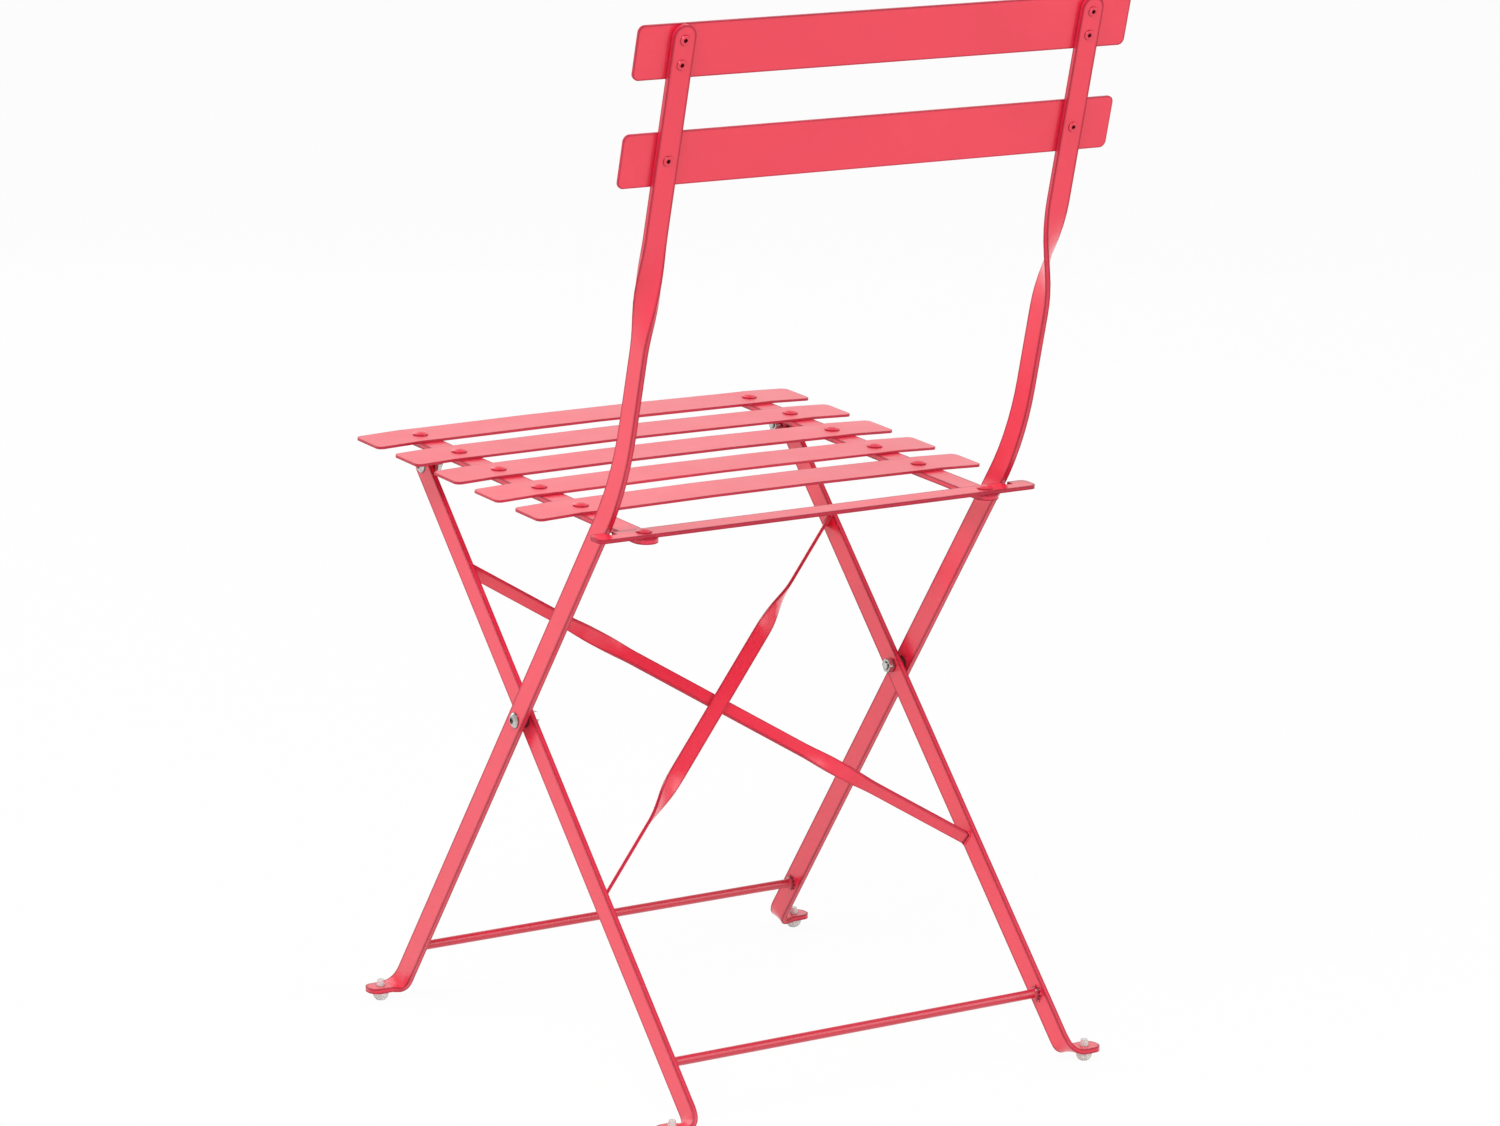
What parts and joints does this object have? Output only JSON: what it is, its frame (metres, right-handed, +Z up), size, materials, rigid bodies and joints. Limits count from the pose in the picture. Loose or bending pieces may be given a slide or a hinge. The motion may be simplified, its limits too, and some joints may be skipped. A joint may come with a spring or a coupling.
{
  "type": "folding chair",
  "caption": "Slim folding garden chair of painted flat steel strip, with crossed legs, a slatted flat seat and a slatted back on bent, quarter-twisted uprights.",
  "frame": {"origin": "on the floor under the middle of the open chair, at the bottom centre of its bounding box", "axes": "+Z up, -Y is the way the chair faces, +X is the sitter's left"},
  "size_m": [0.42, 0.4437, 0.7999],
  "materials": {
    "red_powder_coat": "satin coral-red powder coat over steel strip",
    "rivet_paint": "satin coral-red powder coat over steel rivets",
    "zinc_hardware": "bright zinc plate",
    "glide_plastic": "milky translucent plastic"
  },
  "bodies": {
    "back_frame": {"left_back_upright": "red_powder_coat", "right_back_upright": "red_powder_coat", "top_back_slat": "red_powder_coat", "lower_back_slat": "red_powder_coat", "top_back_rivets": "rivet_paint", "lower_back_rivets": "rivet_paint", "front_stretcher_rod": "red_powder_coat", "left_front_glide": "glide_plastic", "right_front_glide": "glide_plastic", "pivot_bolts": "zinc_hardware", "pivot_nuts": "zinc_hardware", "pivot_spacers": "zinc_hardware"},
    "rear_legs": {"left_rear_leg": "red_powder_coat", "right_rear_leg": "red_powder_coat", "rear_stretcher_rod": "red_powder_coat", "front_cross_brace": "red_powder_coat", "rear_cross_brace": "red_powder_coat", "left_rear_glide": "glide_plastic", "right_rear_glide": "glide_plastic", "hinge_bolts": "zinc_hardware", "hinge_nuts": "zinc_hardware", "hinge_washers": "zinc_hardware"},
    "seat": {"left_seat_rail": "red_powder_coat", "right_seat_rail": "red_powder_coat", "seat_slat_1": "red_powder_coat", "seat_slat_2": "red_powder_coat", "seat_slat_3": "red_powder_coat", "seat_slat_4": "red_powder_coat", "seat_slat_5": "red_powder_coat", "rear_crossbar": "red_powder_coat", "slat_rivets": "rivet_paint", "crossbar_rivets": "rivet_paint", "left_hinge_bracket": "red_powder_coat", "right_hinge_bracket": "red_powder_coat"}
  },
  "joints": [
    {"name": "leg_fold", "type": "hinge", "parent": "back_frame", "child": "rear_legs", "pos_m": [0, -0.01938, 0.25867], "axis": [-1, 0, 0], "range_deg": [0, 70]},
    {"name": "seat_fold", "type": "hinge", "parent": "rear_legs", "child": "seat", "pos_m": [0, -0.17229, 0.42335], "axis": [1, 0, 0], "range_deg": [0, 137.2]}
  ],
  "couplings": [
    {"joint": "seat_fold", "follows": "leg_fold", "ratio": 1.96}
  ]
}
